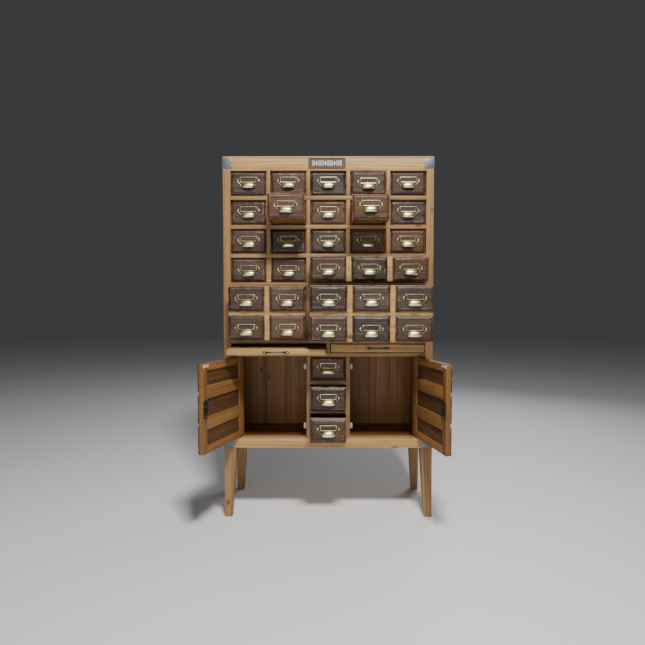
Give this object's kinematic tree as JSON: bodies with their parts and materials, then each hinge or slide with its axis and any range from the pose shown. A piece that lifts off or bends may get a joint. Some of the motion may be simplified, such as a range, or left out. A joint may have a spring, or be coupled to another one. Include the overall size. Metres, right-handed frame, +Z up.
{
  "type": "apothecary cabinet",
  "caption": "Tall pine apothecary cabinet on tapered legs, with label-holder drawers, pull-out slides and hinged cupboard doors.",
  "frame": {"origin": "on the floor, midway between the four feet", "axes": "+Z up, +X to the viewer's right, the front faces -Y"},
  "size_m": [1.0865, 0.6869, 1.728],
  "materials": {
    "pine": "waxed pine, knots and open grain",
    "dark_fronts": "dark stained reclaimed wood, worn at the edges",
    "aged_brass": "aged brass, satin",
    "dark_iron": "blackened iron",
    "bronze_plate": "dark bronzed, relief worn bright"
  },
  "bodies": {
    "root": {"top_board": "pine", "side_panels": "pine", "drawer_grid": "pine", "base_frame": "pine", "back_panel": "pine", "legs": "pine", "carcass_fittings": "dark_iron", "name_plate": "bronze_plate"},
    "drawer_r1c1": {"drawer_r1c1": "dark_fronts", "drawer_r1c1_pull": "aged_brass"},
    "drawer_r1c2": {"drawer_r1c2": "dark_fronts", "drawer_r1c2_pull": "aged_brass"},
    "drawer_r1c3": {"drawer_r1c3": "dark_fronts", "drawer_r1c3_pull": "aged_brass"},
    "drawer_r1c4": {"drawer_r1c4": "dark_fronts", "drawer_r1c4_pull": "aged_brass"},
    "drawer_r1c5": {"drawer_r1c5": "dark_fronts", "drawer_r1c5_pull": "aged_brass"},
    "drawer_r2c1": {"drawer_r2c1": "dark_fronts", "drawer_r2c1_pull": "aged_brass"},
    "drawer_r2c2": {"drawer_r2c2": "dark_fronts", "drawer_r2c2_pull": "aged_brass"},
    "drawer_r2c3": {"drawer_r2c3": "dark_fronts", "drawer_r2c3_pull": "aged_brass"},
    "drawer_r2c4": {"drawer_r2c4": "dark_fronts", "drawer_r2c4_pull": "aged_brass"},
    "drawer_r2c5": {"drawer_r2c5": "dark_fronts", "drawer_r2c5_pull": "aged_brass"},
    "drawer_r3c1": {"drawer_r3c1": "dark_fronts", "drawer_r3c1_pull": "aged_brass"},
    "drawer_r3c2": {"drawer_r3c2": "dark_fronts", "drawer_r3c2_pull": "aged_brass"},
    "drawer_r3c3": {"drawer_r3c3": "dark_fronts", "drawer_r3c3_pull": "aged_brass"},
    "drawer_r3c4": {"drawer_r3c4": "dark_fronts", "drawer_r3c4_pull": "aged_brass"},
    "drawer_r3c5": {"drawer_r3c5": "dark_fronts", "drawer_r3c5_pull": "aged_brass"},
    "centre_drawer_bottom": {"centre_drawer_bottom": "dark_fronts", "centre_drawer_bottom_pull": "aged_brass"},
    "centre_drawer_middle": {"centre_drawer_middle": "dark_fronts", "centre_drawer_middle_pull": "aged_brass"},
    "centre_drawer_top": {"centre_drawer_top": "dark_fronts", "centre_drawer_top_pull": "aged_brass"},
    "wide_drawer_left": {"wide_drawer_left": "dark_fronts", "wide_drawer_left_pulls": "aged_brass"},
    "wide_drawer_right": {"wide_drawer_right": "dark_fronts", "wide_drawer_right_pulls": "aged_brass"},
    "deep_drawer_left": {"deep_drawer_left": "dark_fronts", "deep_drawer_left_pulls": "aged_brass"},
    "deep_drawer_right": {"deep_drawer_right": "dark_fronts", "deep_drawer_right_pulls": "aged_brass"},
    "slide_left": {"slide_left": "pine", "slide_left_handle": "dark_iron"},
    "slide_right": {"slide_right": "pine", "slide_right_handle": "dark_iron"},
    "door_left": {"door_left": "dark_fronts", "door_left_fittings": "aged_brass"},
    "door_right": {"door_right": "dark_fronts", "door_right_fittings": "aged_brass"}
  },
  "joints": [
    {"name": "drawer_r1c1_slide", "type": "slide", "parent": "root", "child": "drawer_r1c1", "axis": [0, -1, 0], "range_m": [0, 0.28]},
    {"name": "drawer_r1c2_slide", "type": "slide", "parent": "root", "child": "drawer_r1c2", "axis": [0, -1, 0], "range_m": [0, 0.28]},
    {"name": "drawer_r1c3_slide", "type": "slide", "parent": "root", "child": "drawer_r1c3", "axis": [0, -1, 0], "range_m": [0, 0.28]},
    {"name": "drawer_r1c4_slide", "type": "slide", "parent": "root", "child": "drawer_r1c4", "axis": [0, -1, 0], "range_m": [-0.012, 0.268]},
    {"name": "drawer_r1c5_slide", "type": "slide", "parent": "root", "child": "drawer_r1c5", "axis": [0, -1, 0], "range_m": [0, 0.28]},
    {"name": "drawer_r2c1_slide", "type": "slide", "parent": "root", "child": "drawer_r2c1", "axis": [0, -1, 0], "range_m": [0, 0.28]},
    {"name": "drawer_r2c2_slide", "type": "slide", "parent": "root", "child": "drawer_r2c2", "axis": [0, -1, 0], "range_m": [-0.165, 0.115]},
    {"name": "drawer_r2c3_slide", "type": "slide", "parent": "root", "child": "drawer_r2c3", "axis": [0, -1, 0], "range_m": [0, 0.28]},
    {"name": "drawer_r2c4_slide", "type": "slide", "parent": "root", "child": "drawer_r2c4", "axis": [0, -1, 0], "range_m": [-0.142, 0.138]},
    {"name": "drawer_r2c5_slide", "type": "slide", "parent": "root", "child": "drawer_r2c5", "axis": [0, -1, 0], "range_m": [0, 0.28]},
    {"name": "drawer_r3c1_slide", "type": "slide", "parent": "root", "child": "drawer_r3c1", "axis": [0, -1, 0], "range_m": [0, 0.28]},
    {"name": "drawer_r3c2_slide", "type": "slide", "parent": "root", "child": "drawer_r3c2", "axis": [0, -1, 0], "range_m": [0, 0.28]},
    {"name": "drawer_r3c3_slide", "type": "slide", "parent": "root", "child": "drawer_r3c3", "axis": [0, -1, 0], "range_m": [0, 0.28]},
    {"name": "drawer_r3c4_slide", "type": "slide", "parent": "root", "child": "drawer_r3c4", "axis": [0, -1, 0], "range_m": [0, 0.28]},
    {"name": "drawer_r3c5_slide", "type": "slide", "parent": "root", "child": "drawer_r3c5", "axis": [0, -1, 0], "range_m": [0, 0.28]},
    {"name": "centre_drawer_bottom_slide", "type": "slide", "parent": "root", "child": "centre_drawer_bottom", "axis": [0, -1, 0], "range_m": [-0.103, 0.177]},
    {"name": "centre_drawer_middle_slide", "type": "slide", "parent": "root", "child": "centre_drawer_middle", "axis": [0, -1, 0], "range_m": [-0.074, 0.206]},
    {"name": "centre_drawer_top_slide", "type": "slide", "parent": "root", "child": "centre_drawer_top", "axis": [0, -1, 0], "range_m": [0, 0.28]},
    {"name": "wide_drawer_left_slide", "type": "slide", "parent": "root", "child": "wide_drawer_left", "axis": [0, -1, 0], "range_m": [0, 0.28]},
    {"name": "wide_drawer_right_slide", "type": "slide", "parent": "root", "child": "wide_drawer_right", "axis": [0, -1, 0], "range_m": [-0.085, 0.195]},
    {"name": "deep_drawer_left_slide", "type": "slide", "parent": "root", "child": "deep_drawer_left", "axis": [0, -1, 0], "range_m": [-0.088, 0.192]},
    {"name": "deep_drawer_right_slide", "type": "slide", "parent": "root", "child": "deep_drawer_right", "axis": [0, -1, 0], "range_m": [-0.19, 0.09]},
    {"name": "slide_left_slide", "type": "slide", "parent": "root", "child": "slide_left", "axis": [0, -1, 0], "range_m": [-0.147, 0.133]},
    {"name": "slide_right_slide", "type": "slide", "parent": "root", "child": "slide_right", "axis": [0, -1, 0], "range_m": [0, 0.28]},
    {"name": "door_left_hinge", "type": "hinge", "parent": "root", "child": "door_left", "pos_m": [-0.432, -0.173, 0.384], "axis": [0, 0, 1], "range_deg": [-1.5, 110]},
    {"name": "door_right_hinge", "type": "hinge", "parent": "root", "child": "door_right", "pos_m": [0.432, -0.173, 0.384], "axis": [0, 0, 1], "range_deg": [-103, 8.5]}
  ]
}
